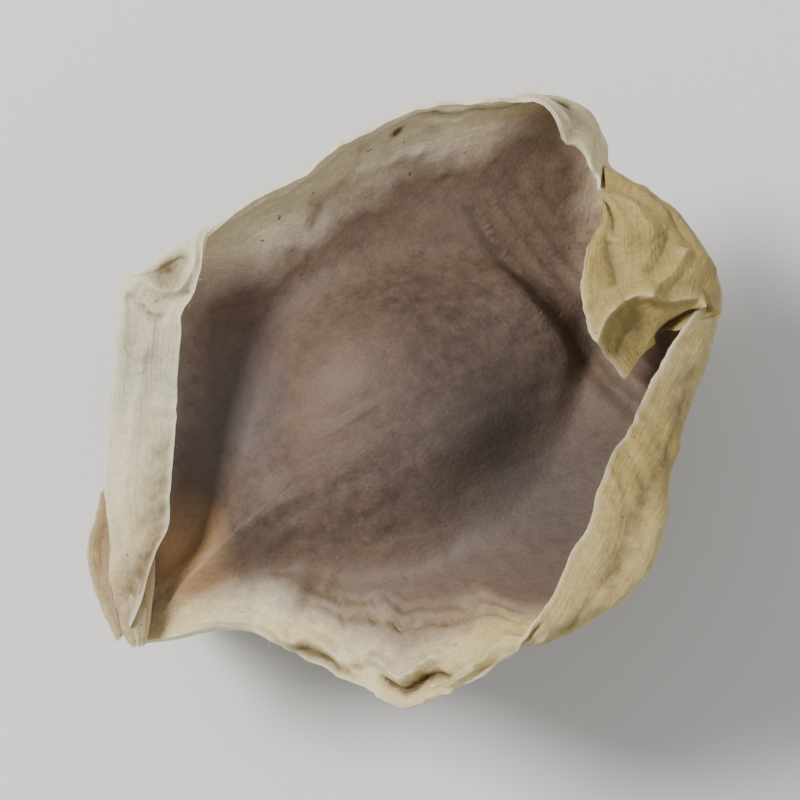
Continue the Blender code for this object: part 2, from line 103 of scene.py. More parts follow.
# Each wing has its direction from straight up towards +y, and tables by the turn round the hull in
# degrees from the sharp pole: fold and width of the folded margin, depth of the tears, width of the pale
# rim, how fast the skin darkens past it and how warm its colour is. Waves are (count, height, start).
# Pleats run from one (turn, millimetres from the free edge) to another and have a height and a width; their
# valleys are darkened with painted shade and their ridges paled with a painted highlight. Stains and painted
# shade are (turn, millimetres from the free edge, reach in degrees, reach in millimetres, strength): the
# small ones are real specks and blotches, while the tan along the left strip's inner edge, the shadow in its
# top corner, the olive patch and outer strip of the right wing's lower band and, in part, the darker middle
# of its folded band are painted shade.
wings = [
    {
        "name": "left",
        "angle": 65,
        "inward": -1,
        "outline": [(-14, 0), (-13.8, 1.6), (-12.4, 4.2), (-11.0, 6.1), (-8.3, 9.9), (-6.9, 11.7),
                    (-6.3, 12.05), (-5.2, 11.95), (-2.3, 11.6), (2.6, 11.4), (6.9, 11.1), (9.2, 10.2),
                    (12.2, 8.6), (13.3, 7.1), (13.3, 5.4), (12.8, 4.2), (13.7, 2.2), (14, 0)],
        "folds": [(0, 60, 1.6), (5, 130, 2.6), (16, 150, 4.1), (28, 150, 4.1), (45, 150, 4.2), (60, 150, 4.4),
                  (66, 150, 3.7), (70, 146, 3.0), (74, 138, 2.4), (78, 90, 1.8), (84, 45, 1.8),
                  (130, 40, 2.0), (140, 80, 2.4), (149, 146, 3.6), (159, 140, 3.4), (168, 60, 2.2),
                  (180, 0, 0.6)],
        "waves": [(5, 0.25, 0.4), (9, 0.16, 2.0)],
        "tears": [(0, 0.08), (20, 0.05), (62, 0.05), (74, 0.08), (82, 0.16), (125, 0.16), (138, 0.3),
                  (160, 0.4), (180, 0.3)],
        "rim": [(0, 2.0), (14, 3.6), (60, 4.8), (72, 3.2), (80, 2.3), (90, 2.1), (128, 1.7), (140, 2.4),
                (158, 2.8), (180, 1.6)],
        "darkens": [(0, 1.3), (30, 1.0), (60, 1.0), (76, 1.6), (90, 1.9), (165, 1.6), (180, 1.0)],
        "warmth": [(0, 0.55), (12, 0.4), (30, 0.25), (45, 0.15), (60, 0.2), (80, 0.15), (125, 0.15),
                   (150, 0.35), (180, 0.8)],
        "pleats": [(84, 0.25, 122, 0.3, 0.18, 0.4), (124, 0.5, 136, 1.1, -0.3, 0.3),
                   (136, 1.1, 149, 1.7, -0.3, 0.35), (124, 0.2, 148, 0.6, 0.2, 0.35),
                   (8, 2.2, 38, 1.9, 0.14, 0.7), (38, 1.9, 58, 1.5, 0.12, 0.6),
                   (62, 3.1, 65.5, 0.6, 0.26, 0.3), (65.5, 0.6, 79, 0.2, 0.24, 0.3),
                   (59.5, 2.7, 60.3, 0.9, -0.22, 0.25), (66, 2.4, 71, 0.9, -0.3, 0.6),
                   (100, 2.8, 112, 1.7, -0.15, 0.5), (112, 1.9, 126, 2.6, 0.15, 0.5)],
        "stainsAndShade": [(9, 0.5, 12, 1.2, 0.8), (27, 0.4, 14, 0.9, 0.6), (67, 1.5, 3, 0.9, 0.9),
                   (102, 2.2, 2, 0.4, 0.5), (113, 1.0, 1.4, 0.3, 0.4), (120, 1.0, 1.0, 0.2, 1.5),
                   (127, 1.3, 1.4, 0.25, 0.45),
                   (110, 2.6, 5, 0.5, 0.35), (148, 1.4, 6, 0.7, 0.5)],
    },
    {
        "name": "lower",
        "angle": 180,
        "inward": 1,
        "outline": [(-14, 0), (-13.0, 4.4), (-11.6, 7.4), (-9.8, 9.2), (-8.4, 9.4), (-6, 9.1), (-3, 9.0),
                    (-1, 9.4), (1, 9.4), (3, 9.1), (6, 9.1), (8.6, 9.4), (9.9, 9.2), (11.4, 7.8),
                    (12.6, 4.8), (13.4, 2.2), (14, 0)],
        "folds": [(0, 0, 0.6), (14, -60, 2.4), (30, -70, 2.6), (42, 0, 2.8), (138, 0, 2.8), (152, 65, 2.6),
                  (168, 50, 2.2), (180, 0, 0.6)],
        "waves": [],
        "tears": [(0, 0.2), (40, 0.35), (90, 0.35), (140, 0.4), (180, 0.4)],
        "rim": [(0, 1.6), (90, 2.2), (180, 1.6)],
        "darkens": [(0, 1.0), (180, 1.0)],
        "warmth": [(0, 0.5), (90, 0.4), (180, 0.7)],
        "pleats": [(20, 1.2, 60, 2.0, 0.15, 0.6), (60, 2.0, 100, 1.2, 0.15, 0.6),
                   (110, 1.0, 150, 2.2, 0.15, 0.6)],
        "stainsAndShade": [(45, 1.8, 12, 1.0, 0.5), (120, 1.5, 14, 0.9, 0.5)],
    },
    {
        "name": "right",
        "angle": 295,
        "inward": 1,
        "outline": [(-14, 0), (-12.6, 1.2), (-10.2, 3.1), (-8.9, 5.9), (-8.1, 8.2), (-7.1, 10.4),
                    (-6.6, 10.8), (-5.0, 11.8), (-2.9, 13.2), (-0.6, 14.3), (1.0, 14.5), (2.4, 14.3),
                    (3.8, 13.7), (5.3, 12.2), (7.7, 9.3), (9.3, 7.2), (11.5, 5.4), (13.1, 3.7),
                    (13.7, 2.0), (14, 0)],
        "folds": [(0, 0, 0.6), (16, -25, 2.2), (58, -48, 3.0), (72, -40, 2.4), (78, 0, 1.6), (82, 105, 1.8),
                  (88, 140, 2.7), (96, 147, 4.0), (108, 148, 4.5), (118, 148, 4.1), (130, 146, 3.3),
                  (142, 145, 2.8), (152, 140, 2.7), (160, 125, 2.5), (170, 70, 2.0), (180, 0, 0.6)],
        "waves": [(4, 0.30, 1.2), (9, 0.14, 0.3)],
        "tears": [(0, 0.12), (30, 0.15), (70, 0.22), (95, 0.10), (120, 0.09), (150, 0.12), (180, 0.3)],
        "rim": [(0, 2.0), (8, 1.2), (24, 1.1), (40, 1.4), (50, 1.7), (70, 1.9), (84, 3.0), (100, 4.0),
                (125, 3.8), (150, 2.8), (180, 1.6)],
        "darkens": [(0, 1.3), (12, 2.6), (32, 2.4), (48, 1.4), (58, 1.1), (75, 1.7), (95, 3.0), (155, 3.0),
                    (180, 1.0)],
        "warmth": [(0, 0.55), (18, 0.4), (35, 0.6), (52, 0.4), (60, 0.6), (75, 0.8), (90, 0.85), (105, 0.9),
                   (125, 1.0), (145, 0.85), (180, 0.8)],
        "pleats": [(28, 2.0, 40, 2.45, -0.13, 0.4), (40, 2.45, 49, 3.1, -0.18, 0.4),
                   (49, 3.1, 56, 3.8, -0.2, 0.4), (56, 3.8, 61, 3.8, -0.2, 0.4),
                   (61, 3.8, 68, 3.2, -0.18, 0.4), (68, 3.2, 80, 2.8, -0.15, 0.4),
                   (27, 2.6, 36, 2.9, -0.1, 0.35), (36, 2.9, 48, 3.9, -0.12, 0.35),
                   (48, 3.9, 57, 4.8, -0.12, 0.35), (57, 4.8, 64, 4.4, -0.12, 0.35),
                   (64, 4.4, 73, 3.7, -0.12, 0.35), (73, 3.7, 83, 3.8, -0.1, 0.35),
                   (8, 0.35, 25, 0.5, 0.2, 0.4), (25, 0.5, 45, 1.1, 0.28, 0.4),
                   (45, 1.1, 49, 1.5, 0.28, 0.35), (49, 1.5, 65, 1.7, 0.36, 0.35),
                   (24, 0.0, 42, 0.45, -0.24, 0.35),
                   (53, 0.7, 61, 1.0, -0.46, 0.42), (61, 1.0, 66, 0.85, -0.36, 0.35),
                   (52, 0.05, 66, 0.1, 0.3, 0.3), (63, 0.5, 73, 0.4, 0.28, 0.22),
                   (73, 0.4, 84, 0.9, 0.28, 0.25), (67, 0.1, 84, 0.35, -0.2, 0.2),
                   (84, 1.6, 102, 2.0, -0.2, 1.1), (102, 2.0, 128, 2.0, -0.2, 1.2),
                   (128, 2.0, 150, 1.3, -0.16, 0.9), (96, 3.0, 116, 3.1, 0.12, 0.4)],
        "stainsAndShade": [(60, 0.95, 6, 0.38, 0.8), (103, 2.3, 10, 0.7, 0.22), (116, 2.0, 5, 0.7, 0.3),
                   (124, 2.3, 4, 0.6, 0.25), (140, 1.4, 9, 0.8, 0.25), (40, 3.0, 16, 0.6, 0.4),
                   (72, 3.3, 14, 0.6, 0.4), (33, 0.25, 9, 0.4, 0.8)],
    },
]


def ease(value):
    # 0 to 1 with a level start and end
    value = np.clip(value, 0, 1)
    return value * value * (3 - 2 * value)


def smoothCurve(points, steps):
    # a smooth curve through the points, with this many steps from each to the next
    points = np.array(points, dtype=float)
    padded = np.concatenate((2 * points[:1] - points[1:2], points, 2 * points[-1:] - points[-2:-1]))
    t = np.linspace(0, 1, steps, endpoint=False)[:, None]
    spans = []
    for a, b, c, d in zip(padded, padded[1:], padded[2:], padded[3:]):
        spans.append(0.5 * (2 * b + (c - a) * t + (2 * a - 5 * b + 4 * c - d) * t**2
                            + (3 * b - a - 3 * c + d) * t**3))
    return np.concatenate(spans + [points[-1:]])


# Random surfaces. Hills are soft. Facets are flat and meet in straight creases, like crumpled paper.
noiseSize = 97
noiseTable = np.random.default_rng(11).uniform(-1, 1, (noiseSize, noiseSize))


def tableAt(i, j):
    return noiseTable[i.astype(int) % noiseSize, j.astype(int) % noiseSize]


def hills(u, v, layer=0):
    u = u + 17.3 * layer
    v = v + 9.1 * layer
    i, j = np.floor(u), np.floor(v)
    a, b = ease(u - i), ease(v - j)
    low = tableAt(i, j) * (1 - a) + tableAt(i + 1, j) * a
    high = tableAt(i, j + 1) * (1 - a) + tableAt(i + 1, j + 1) * a
    return low * (1 - b) + high * b


def facets(u, v, layer=0):
    bent = 0.42 * hills(0.9 * u, 0.9 * v, layer + 31)
    u = u + bent + 13.7 * layer
    v = v + 0.42 * hills(0.9 * v, 0.9 * u, layer + 37) + 5.9 * layer
    u = u + 0.5 * v
    i, j = np.floor(u), np.floor(v)
    a, b = u - i, v - j
    near, far = tableAt(i, j), tableAt(i + 1, j + 1)
    sideU, sideV = tableAt(i + 1, j), tableAt(i, j + 1)
    lower = near + a * (sideU - near) + b * (sideV - near)
    upper = far + (1 - a) * (sideV - far) + (1 - b) * (sideU - far)
    return np.where(a + b < 1, lower, upper)


tearing = {
    "bites": (1.9, 0.9),  # length in millimetres, and share of the tear's depth
    "teeth": (0.55, 0.45),
    "fray": (0.16, 0.16),
}


def tornLine(length, layer):
    # how far a torn edge wanders, by the millimetres along it: long bites, short teeth and fine fray
    (bite, biteShare), (tooth, toothShare), (strand, strandShare) = tearing.values()
    bites = facets(length / bite, length * 0 + 0.5, layer)
    teeth = facets(length / tooth, length * 0 + 0.3, layer + 3)
    fray = hills(length / strand, length * 0, layer + 5)
    return biteShare * bites + toothShare * teeth + strandShare * fray


def faceDistance(x):
    # from the axis to the middle of a face: the hull's profile, eased into the thin core past its end
    share = 1 - (x / seed["hullHalfLength"]) ** 2
    hull = (seed["hullRadius"] - seed["coreRadius"]) * np.sign(share) * np.abs(share) ** seed["hullSoftness"]
    return seed["coreRadius"] + (hull + np.hypot(hull, seed["endSoftness"])) / 2


def skinDepth(x, out):
    # from the middle of a wing to the hull's skin: round over the hull, then a fillet onto the wing
    distance = faceDistance(x)
    half = seed["wingThickness"] / 2
    steep = seed["steepShare"]
    onHull = np.clip(out / distance, 0, steep)
    fall = steep / math.sqrt(1 - steep**2)
    skin = distance * np.sqrt(1 - onHull**2) - fall * np.maximum(out - steep * distance, 0)
    fillet = np.minimum(seed["filletLength"], seed["filletShare"] * distance)
    overlap = np.maximum(fillet - np.abs(skin - half), 0) / fillet
    return np.maximum(skin, half) + overlap**2 * fillet / 4


def rolled(length, fold, bend):
    # how far forward and how far up a folded margin gets, at a length past the start of its fold
    radius = bend / fold
    turned = fold * np.clip(length / bend, 0, 1)
    straight = np.maximum(length - bend, 0)
    return (radius * np.sin(turned) + straight * np.cos(fold),
            radius * (1 - np.cos(turned)) + straight * np.sin(fold))


def softTable(turn, table, column=1, width=3.0):
    # a table's values by turn, with its corners rounded over a few degrees
    table = np.array(table, dtype=float)
    values = np.interp(turn, np.radians(table[:, 0]), table[:, column])
    reach = max(1, int(math.radians(width) / (turn[1] - turn[0])))
    padded = np.concatenate((np.full(reach, values[0]), values, np.full(reach, values[-1])))
    window = np.hanning(2 * reach + 1)
    return np.convolve(padded, window / window.sum(), mode="valid")


def readWing(wing, layer):
    # works out everything along the margin once, by fine steps of turn
    turn = np.linspace(0, math.pi, seed["tableSteps"] + 1)
    outline = smoothCurve(wing["outline"], 24)
    reach = np.interp(turn, np.arctan2(outline[:, 1], -outline[:, 0]), np.hypot(outline[:, 0], outline[:, 1]))
    steps = np.hypot(np.diff(-reach * np.cos(turn)), np.diff(reach * np.sin(turn)))
    length = np.concatenate(([0], np.cumsum(steps)))
    fold = np.radians(softTable(turn, wing["folds"], 1))
    width = softTable(turn, wing["folds"], 2)
    side = wing["inward"] * np.where(fold < 0, -1, 1)
    fold = np.maximum(np.abs(fold) * ease(np.sin(turn) / seed["poleFade"]), seed["flatFold"])
    bend = np.minimum(seed["bendLength"], width)
    furthest = np.where(fold < math.pi / 2, rolled(width, fold, bend)[0], bend / fold)
    if wing["name"] == "lower":
        torn = ease((seed["floorDepth"] - reach * np.sin(turn)) / seed["floorFade"])
    else:
        torn = ease(np.sin(turn) / seed["tornFade"])
    tear = torn * softTable(turn, wing["tears"]) * tornLine(length, layer)
    wing.update(layer=layer, turn=turn, reach=reach, length=length, fold=fold, bend=bend, side=side,
                foldStart=reach - furthest, marginWidth=width + tear, warm=softTable(turn, wing["warmth"]),
                rimWidth=softTable(turn, wing["rim"]), brownRate=softTable(turn, wing["darkens"]))


def along(wing, key, turn):
    # one of readWing's values, at any turn
    return np.interp(turn, wing["turn"], wing[key])


def wingMiddle(wing, turn, run, halfAngle):
    # the middle sheet of a wing: run goes from 0 at the hull to 1 at the fold, then to 2 at the margin
    forward, up = rolled(np.clip(run - 1, 0, 1) * along(wing, "marginWidth", turn), along(wing, "fold", turn),
                         along(wing, "bend", turn))
    reach = along(wing, "reach", turn)
    out = np.clip(run, 0, 1) * along(wing, "foldStart", turn) + forward
    lift = np.sign(along(wing, "side", turn)) * up
    share = np.clip(out / np.maximum(reach, 1e-6), 0, 1.1)
    x = -out * np.cos(turn)
    straightOut = out * np.sin(turn)
    shift = faceDistance(x) * math.cos(halfAngle)
    out = straightOut + shift * np.clip(1 - straightOut / seed["rootShiftReach"], 0, 1) ** 2
    for count, height, start in wing["waves"]:
        lift = lift + height * share**4 * np.sin(count * turn + start) * ease(np.sin(turn) / seed["waveFade"])
    if wing["name"] == "lower":
        swing = seed["lowerWave"] * ease((out - seed["lowerWaveStart"]) / seed["lowerWaveSpan"])
        lift = lift + swing * np.cos(2 * math.pi * x / seed["lowerWaveLength"])
    else:
        cupped = ease((out - seed["camberStart"]) / seed["camberSpan"])
        lift = lift + wing["inward"] * seed["camber"] * cupped * share**2
    angle = math.radians(wing["angle"])
    y = out * math.sin(angle) + lift * math.cos(angle)
    z = out * math.cos(angle) - lift * math.sin(angle)
    return np.stack((x, y, z), axis=-1), out


def flatPlace(wing, turn, run):
    # a place on the wing laid flat, and its distance from the free margin
    start, width = along(wing, "foldStart", turn), along(wing, "marginWidth", turn)
    flat = np.clip(run, 0, 1) * start + np.clip(run - 1, 0, 1) * width
    return -flat * np.cos(turn), flat * np.sin(turn), start + width - flat


crumple = {
    "broad": 0.17,  # heights of the creases, by size
    "small": 0.085,
    "fine": 0.024,
    "broadSize": 3.1,
    "smallSize": 1.05,
    "edgeReach": 1.5,  # the small ones are stronger this near a margin
    "sheetSizes": (2.3, 0.9, 0.33),  # sizes on the loose pieces of wing
    "finestShare": 0.3,  # and the height of the last, as a share of the one before
    "degreeLength": 0.21,  # millimetres along a margin for one degree of turn
    "valleyShade": 2.8,  # painted shade: how dark a valley is painted, by its depth in millimetres
    "ridgeHighlight": 1.3,  # painted highlight: how pale a ridge is painted, likewise
    "foldHighlight": 0.3,  # painted highlight: how pale the crest of a fold is painted
    "foldHighlightFrom": 1.5,  # in radians, the fold where that starts
    "foldHighlightSpan": 0.8,
}


def lineDistance(u, v, line):
    # from places on a flat sheet to a straight line across it
    u0, v0, u1, v1 = line
    t = np.clip(((u - u0) * (u1 - u0) + (v - v0) * (v1 - v0)) / ((u1 - u0) ** 2 + (v1 - v0) ** 2), 0, 1)
    return np.hypot(u - u0 - t * (u1 - u0), v - v0 - t * (v1 - v0))


def foldedLines(u, v, lines):
    # creases pressed into a sheet, each a line with a height and a width: valleys darkened with painted
    # shade, ridges paled with a painted highlight
    relief, darkening, paintedHighlight = u * 0, u * 0, u * 0
    for u0, v0, u1, v1, height, width in lines:
        tent = np.clip(1 - lineDistance(u, v, (u0, v0, u1, v1)) / width, 0, 1)
        relief = relief + height * tent**1.3
        darkening = np.maximum(darkening, -height * tent**2.5 * crumple["valleyShade"])
        paintedHighlight = np.maximum(paintedHighlight, height * tent**3 * crumple["ridgeHighlight"])
    return relief, darkening - paintedHighlight


def sheetRelief(wing, u, v, gap, turn, facing):
    # how far a wing's skin stands off its middle sheet, and how stained and shaded it is: stains, painted
    # shade in valleys and shadowed patches, and painted highlights on ridges, which come out below 0
    layer = wing["layer"]
    broad = facets(u / crumple["broadSize"], v / crumple["broadSize"], layer) * crumple["broad"]
    small = facets(u / crumple["smallSize"], v / crumple["smallSize"], layer + 7) * crumple["small"]
    small = small * (0.55 + 0.75 * np.exp(-gap / crumple["edgeReach"]))
    fine = (hills(u * 2.6, v * 2.6, layer + 2) + 0.6 * facets(u * 2.1, v * 2.1, layer + 4)) * crumple["fine"]
    degree = crumple["degreeLength"]
    place = np.degrees(turn) + 1.5 * hills(gap / 1.2, np.degrees(turn) / 9, layer)
    shownGap = gap + 0.16 * hills(np.degrees(turn) / 5, gap / 2, layer + 3)
    lines = [(a * degree, b, c * degree, d, height, width) for a, b, c, d, height, width in wing["pleats"]]
    pleats, stainAndShade = foldedLines(place * degree, shownGap, lines)
    for at, gapAt, reach, gapReach, strength in wing["stainsAndShade"]:
        stainAndShade = stainAndShade + strength * np.exp(-((place - at) / reach) ** 2 - ((shownGap - gapAt) / gapReach) ** 2)
    return broad + small + fine + pleats * np.clip(3 * facing, -1, 1), stainAndShade


hullSkin = {
    "dent": 0.15,  # heights of the skin's unevenness, by size
    "wrinkle": 0.05,
    "fine": 0.02,
    "bumpPlace": (-1.6, 2.6),  # reddish swelling on the upper face
    "bumpSize": (2.6, 2.2),
    "bumpHeight": 0.42,
    "ridgeX": 6.8,  # the upper face rises to a ridge across the ragged end, then drops off
    "ridgeStart": 2.6,
    "ridgeHeight": 0.85,
    "ridgeDrop": 0.35,
    "dropSpan": 0.7,  # along the seed, for the skin to drop
    "dropReach": 4.5,  # and to where it has come back up
    "dropFade": 3.5,
    "ridgeTilt": 0.04,
    "ridgeReach": 7.6,  # sideways, to where it has faded out
    "ridgeFade": 4.0,
    "pleatGap": 0.85,  # beyond the ridge the skin is drawn into pleats beside it
    "pleatHeight": 0.13,
    "pleatReach": 4.2,
    "pleatFade": 1.5,
    "webWidth": 3.0,  # skin spans the valley between the upper wings at the sharp end
    "webStart": -13.4,  # along the seed, with how long it takes to start and to end
    "webStartSpan": 2.5,
    "webEnd": -5.2,
    "webEndSpan": 3.2,
}


def ridgeRelief(x, s, thick):
    # the ridge across the upper face, fading out sideways up the wings. A thin wing is only built up.
    crest = hullSkin["ridgeX"] - hullSkin["ridgeTilt"] * s + 0.12 * hills(s / 1.6, s * 0, 9)
    before = np.clip((x - hullSkin["ridgeStart"]) / (crest - hullSkin["ridgeStart"]), 0, 1) ** 2.2
    after = ease((x - crest) / hullSkin["dropSpan"])
    rise = hullSkin["ridgeHeight"] * before * (1 - after) * (0.3 + 0.7 * thick)
    back = ease((crest + hullSkin["dropReach"] - x) / hullSkin["dropFade"])
    drop = hullSkin["ridgeDrop"] * after * back * thick
    pleats = np.abs(np.sin(math.pi * (x - crest + 0.22 * hills(s / 2.2, x / 3.0, 12)) / hullSkin["pleatGap"]))
    shown = ease((crest + hullSkin["pleatReach"] - x) / hullSkin["pleatFade"])
    pleats = hullSkin["pleatHeight"] * (1 - pleats) ** 2 * after * shown
    return (rise - drop + pleats) * ease((hullSkin["ridgeReach"] - np.abs(s)) / hullSkin["ridgeFade"])


def hullRelief(face, x, s):
    # dents and wrinkles, and on the upper face the swelling
    relief = hullSkin["dent"] * hills(x / 2.9, s / 2.1, 40 + face)
    relief = relief + hullSkin["wrinkle"] * facets(x / 2.6, s / 0.85, 44 + face)
    relief = relief + hullSkin["fine"] * hills(x / 0.9, s / 0.45, 48 + face)
    if face == 2:
        bx, bs = hullSkin["bumpPlace"]
        lx, ls = hullSkin["bumpSize"]
        relief = relief + hullSkin["bumpHeight"] * np.exp(-((x - bx) / lx) ** 2 - ((s - bs) / ls) ** 2)
    return relief * ease((seed["halfLength"] - np.abs(x)) / 2.0)


def webRelief(x, s):
    # fills the sharp bottom of the valley with skin that spans it
    reach = ease((x - hullSkin["webStart"]) / hullSkin["webStartSpan"])
    reach = reach * ease((hullSkin["webEnd"] - x) / hullSkin["webEndSpan"])
    steep = 1 / math.tan(math.radians(wings[0]["angle"]))
    return steep * reach * (np.hypot(s, hullSkin["webWidth"]) - np.abs(s))


def wingRuns(face):
    # rings get closer together towards the margin
    hull = np.linspace(0, 1, seed["hullRings"][face] + 1) ** 0.82
    fold = 1 + np.linspace(0, 1, seed["foldRings"] + 1)[1:]
    return np.concatenate((hull, fold))


def wingSkin(wing, side, halfAngle, face, faceAngle, turns, runs):
    # points on one side of a wing, from pole to pole and from the hull's middle to the free edge
    turn, run = np.broadcast_arrays(turns[:, None], runs[None, :])
    middle, out = wingMiddle(wing, turn, run, halfAngle)
    step = 2e-4
    inside, runInside = np.clip(turn, 0.01, math.pi - 0.01), np.clip(run, 0.02, 2 - step)
    across = (wingMiddle(wing, inside + 8 * step, runInside, halfAngle)[0]
              - wingMiddle(wing, inside - 8 * step, runInside, halfAngle)[0])
    outwards = (wingMiddle(wing, inside, runInside + step, halfAngle)[0]
                - wingMiddle(wing, inside, runInside - step, halfAngle)[0])
    normal = np.cross(across, outwards)
    normal /= np.linalg.norm(normal, axis=-1, keepdims=True)
    angle = math.radians(wing["angle"])
    square = np.array((0, math.cos(angle), -math.sin(angle)))
    (freeAt, freeOver), (rootEnd, rootOver) = seed["freeRun"], seed["rootEndRun"]
    free = np.maximum(ease((out - seed["freeStart"]) / seed["freeSpan"]), ease((run - freeAt) / freeOver))
    free = free * ease(np.sin(turn) / seed["freePoleFade"])
    normal = normal * np.sign(np.sum(normal * square, axis=-1, keepdims=True)[:, :1])
    normal = square * (1 - free[..., None]) + normal * free[..., None]
    normal /= np.linalg.norm(normal, axis=-1, keepdims=True)
    half = seed["wingThickness"] / 2
    depth = skinDepth(middle[..., 0], out)
    depth = half + (depth - half) * (1 - ease((run - rootEnd) / rootOver))
    # neither skin of a face goes past the middle plane between its two wings
    straightOut = np.clip(run, 0, 1) * along(wing, "foldStart", turn) * np.sin(turn)
    depth = np.minimum(depth, out * math.tan(halfAngle) - seed["planeGap"] * straightOut)
    u, v, gap = flatPlace(wing, turn, run)
    relief, stainAndShade = sheetRelief(wing, u, v, gap, turn, normal[..., 2])
    # a strong fold's crest is paled with a painted highlight
    folded = ease((along(wing, "fold", turn) - crumple["foldHighlightFrom"]) / crumple["foldHighlightSpan"])
    stainAndShade = stainAndShade - crumple["foldHighlight"] * folded * np.exp(-((run - 1.15) / 0.13) ** 2)
    points = middle + normal * (side * depth + relief * free)[..., None]
    # hull relief stands along the face's own upright, so it matches across the middle of the face
    upright = np.array((0, math.sin(faceAngle), math.cos(faceAngle)))
    sideways = np.array((0, math.cos(faceAngle), -math.sin(faceAngle)))
    thick = (1 - free) * ease((depth - half) / seed["fullDepth"])
    swell = hullRelief(face, points[..., 0], points @ sideways) * thick
    if face == 2:
        swell = swell + ridgeRelief(points[..., 0], points @ sideways, thick)
        swell = swell + webRelief(points[..., 0], points @ sideways)
    points = points + upright * swell[..., None]
    pastRim = gap - along(wing, "rimWidth", turn)
    marks = {
        "marginGap": gap,
        "pastRim": np.where(pastRim > 0, pastRim * along(wing, "brownRate", turn), pastRim),
        "hullShare": ease((depth - half) / seed["coatDepth"]) * (1 - free),
        "marginRun": np.broadcast_to(along(wing, "length", turns)[:, None], turn.shape) + 60 * wing["layer"],
        "warmth": along(wing, "warm", turn),
        "stainAndShade": stainAndShade,
    }
    return points, marks


def toFrame(points):
    # bends the poles, keeps everything on the floor and moves it into the frame, in metres
    x, y, z = points[..., 0], points[..., 1], points[..., 2]
    y = y - seed["sag"] * (x / seed["halfLength"]) ** 2
    z = np.maximum(z, -seed["floorDepth"]) + seed["floorDepth"]
    x = x + seed["middleFromLowX"] + cadLow.x * 1000
    y = y + seed["middleFromLowY"] + cadLow.y * 1000
    return np.stack((x, y, z), axis=-1) / 1000 + np.array((0, 0, cadLow.z))


def makePiece(name, points, faces, marks):
    mesh = bpy.data.meshes.new(name)
    mesh.from_pydata(toFrame(points).tolist(), [], faces.tolist())
    for key, values in marks.items():
        layer = mesh.attributes.new(key, "FLOAT", "POINT")
        layer.data.foreach_set("value", np.asarray(values, dtype=np.float32))
    mesh.shade_smooth()
    mesh.set_sharp_from_angle(angle=math.radians(seed["sharpAngle"]))
    piece = bpy.data.objects.new(name, mesh)
    bpy.context.scene.collection.objects.link(piece)
    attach(piece, bodyName)
    return piece


def makeSeed():
    # three dished faces, joined along the wings' free edges and at both poles, as one closed mesh
    rays = seed["rays"]
    turnsOf = []
    for wing in wings:
        even = np.linspace(0, wing["length"][-1], rays + 1)
        turnsOf.append(np.interp(even, wing["length"], wing["turn"]))
    points, marks, grids, faces = [], {}, {}, []
    count = 0

    def add(block, blockMarks):
        nonlocal count
        points.append(block.reshape(-1, 3))
        for key, values in blockMarks.items():
            marks.setdefault(key, []).append(values.reshape(-1))
        made = np.arange(count, count + block[..., 0].size).reshape(block.shape[:-1])
        count += block[..., 0].size
        return made

    for face, wing in enumerate(wings):
        runs = wingRuns(face)
        follower = (face + 1) % 3
        other = wings[follower]
        halfAngle = math.radians((other["angle"] - wing["angle"]) % 360 / 2)
        faceAngle = math.radians(wing["angle"]) + halfAngle
        first, firstMarks = wingSkin(wing, 1, halfAngle, face, faceAngle, turnsOf[face], runs)
        second, secondMarks = wingSkin(other, -1, halfAngle, face, faceAngle, turnsOf[follower], runs)
        gridA = np.zeros(first.shape[:2], dtype=int)
        gridB = np.zeros(second.shape[:2], dtype=int)
        gridA[:, 0] = add(first[:1, :1], {k: m[:1, :1] for k, m in firstMarks.items()})[0, 0]
        gridB[:, 0] = gridA[0, 0]
        gridA[:, 1:] = add(first[:, 1:], {k: m[:, 1:] for k, m in firstMarks.items()})
        gridB[1:-1, 1:] = add(second[1:-1, 1:], {k: m[1:-1, 1:] for k, m in secondMarks.items()})
        gridB[0, 1:] = gridA[0, 1:]
        gridB[-1, 1:] = gridA[-1, 1:]
        grids[face, 1] = gridA
        grids[follower, -1] = gridB
        for grid, turned in ((gridA, False), (gridB, True)):
            a, b, c, d = grid[:-1, :-1], grid[:-1, 1:], grid[1:, 1:], grid[1:, :-1]
            one = np.stack((a, b, c), axis=-1).reshape(-1, 3)
            two = np.stack((a[:, 1:], c[:, 1:], d[:, 1:]), axis=-1).reshape(-1, 3)
            both = np.concatenate((one, two))
            faces.append(both[:, ::-1] if turned else both)
    for index in range(3):
        front, back = grids[index, 1][:, -1], grids[index, -1][:, -1]
        faces.append(np.stack((front[:-1], back[1:], front[1:]), axis=-1))
        faces.append(np.stack((front[:-1], back[:-1], back[1:]), axis=-1))
    for end, turned in ((0, False), (-1, True)):
        tip = np.array([[grids[index, 1][end, -1] for index in range(3)]])
        faces.append(tip[:, ::-1] if turned else tip)
    points = np.concatenate(points)
    marks = {key: np.concatenate(values) for key, values in marks.items()}
    return points, np.concatenate(faces), marks


for index, wing in enumerate(wings):
    readWing(wing, index)
print("wings read")

points, faces, marks = makeSeed()
# a mesh whose faces point in would shade and export inside out, so its volume decides
corners = points[faces]
volume = np.einsum("ij,ij->", corners[:, 0], np.cross(corners[:, 1], corners[:, 2])) / 6
if volume < 0:
    faces = faces[:, ::-1]
seedCoat = makePiece("seedCoat", points, faces, marks)
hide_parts(nodeName)
print("seed coat:", len(faces), "triangles,", round(abs(volume), 1), "cubic millimetres")


def lengthsAlong(grid, axis):
    # millimetres run along one way of a grid of points
    steps = np.linalg.norm(np.diff(grid, axis=axis), axis=-1)
    start = np.zeros_like(np.take(steps, [0], axis=axis))
    return np.concatenate((start, np.cumsum(steps, axis=axis)), axis=axis)


def towards(grid, axis):
    step = np.gradient(grid, axis=axis)
    return step / np.maximum(np.linalg.norm(step, axis=-1, keepdims=True), 1e-9)


